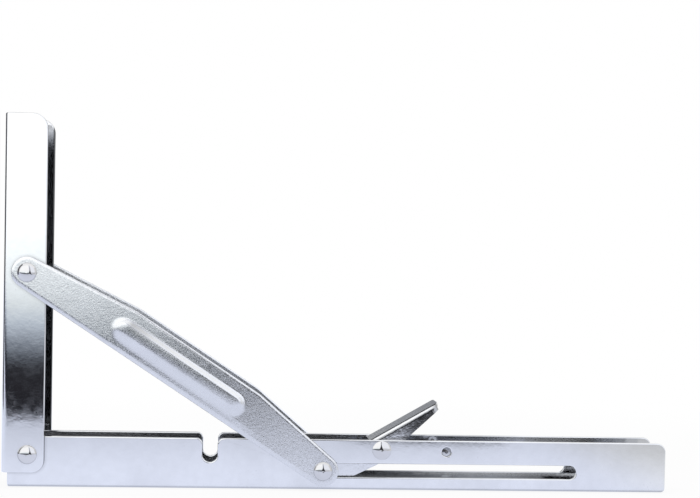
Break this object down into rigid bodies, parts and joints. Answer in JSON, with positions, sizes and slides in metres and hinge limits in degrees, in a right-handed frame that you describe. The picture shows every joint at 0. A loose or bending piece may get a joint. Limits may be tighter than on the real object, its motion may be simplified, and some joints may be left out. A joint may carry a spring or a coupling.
{
  "type": "folding shelf bracket",
  "caption": "Folding shelf bracket: a wall channel and a longer shelf channel hinged at one end, held square by a twin-plate strut in a slot with a sprung release lever.",
  "frame": {"origin": "on the shelf face, straight below the hinge axis, at the middle of the channel's width", "axes": "+X along the shelf arm to its free end, +Y across the channel, away from the viewer of the picture, +Z from the shelf face up along the wall arm"},
  "size_m": [0.3025, 0.0376, 0.1662],
  "materials": {
    "arm_steel": "bright plated sheet steel, smooth",
    "strut_steel": "bright plated sheet steel, slightly grainy",
    "lever_steel": "plated sheet steel, grainy",
    "rivet_steel": "polished plated steel",
    "stud_steel": "turned plated steel",
    "washer_steel": "plated steel, plain",
    "spring_steel": "drawn spring wire"
  },
  "bodies": {
    "shelf_arm": {"shelf_arm": "arm_steel", "hinge_rivet": "rivet_steel", "lever_rivet": "rivet_steel", "lever_washer_near": "washer_steel", "lever_washer_far": "washer_steel", "lever_spring": "spring_steel"},
    "wall_arm": {"wall_arm": "arm_steel"},
    "strut": {"strut_plate_near": "strut_steel", "strut_plate_far": "strut_steel", "strut_rivet": "rivet_steel", "slide_rivet_head_near": "rivet_steel", "slide_rivet_head_far": "rivet_steel"},
    "slide": {"slide_stud_near": "stud_steel", "slide_stud_far": "stud_steel"},
    "release_lever": {"release_lever": "lever_steel"}
  },
  "joints": [
    {"name": "fold", "type": "hinge", "parent": "shelf_arm", "child": "wall_arm", "pos_m": [0, 0, 0.0149], "axis": [0, 1, 0], "range_deg": [0, 90]},
    {"name": "strut_swing", "type": "hinge", "parent": "wall_arm", "child": "strut", "pos_m": [-0.0008, 0, 0.0959], "axis": [0, 1, 0], "range_deg": [-120.88, 0.1]},
    {"name": "slide_travel", "type": "slide", "parent": "shelf_arm", "child": "slide", "axis": [1, 0, 0], "range_m": [-0.0001, 0.10766]},
    {"name": "lever_press", "type": "hinge", "parent": "shelf_arm", "child": "release_lever", "pos_m": [0.1589, 0, 0.0183], "axis": [0, 1, 0], "range_deg": [0, 26], "stiffness_Nm_per_rad": 0.375, "springref_deg": -20.05, "deforming": ["lever_spring"]}
  ],
  "couplings": [
    {"joint": "strut_swing", "follows": "fold", "ratio": -1.342},
    {"joint": "slide_travel", "follows": "fold", "m_per_rad": 0.068477}
  ]
}
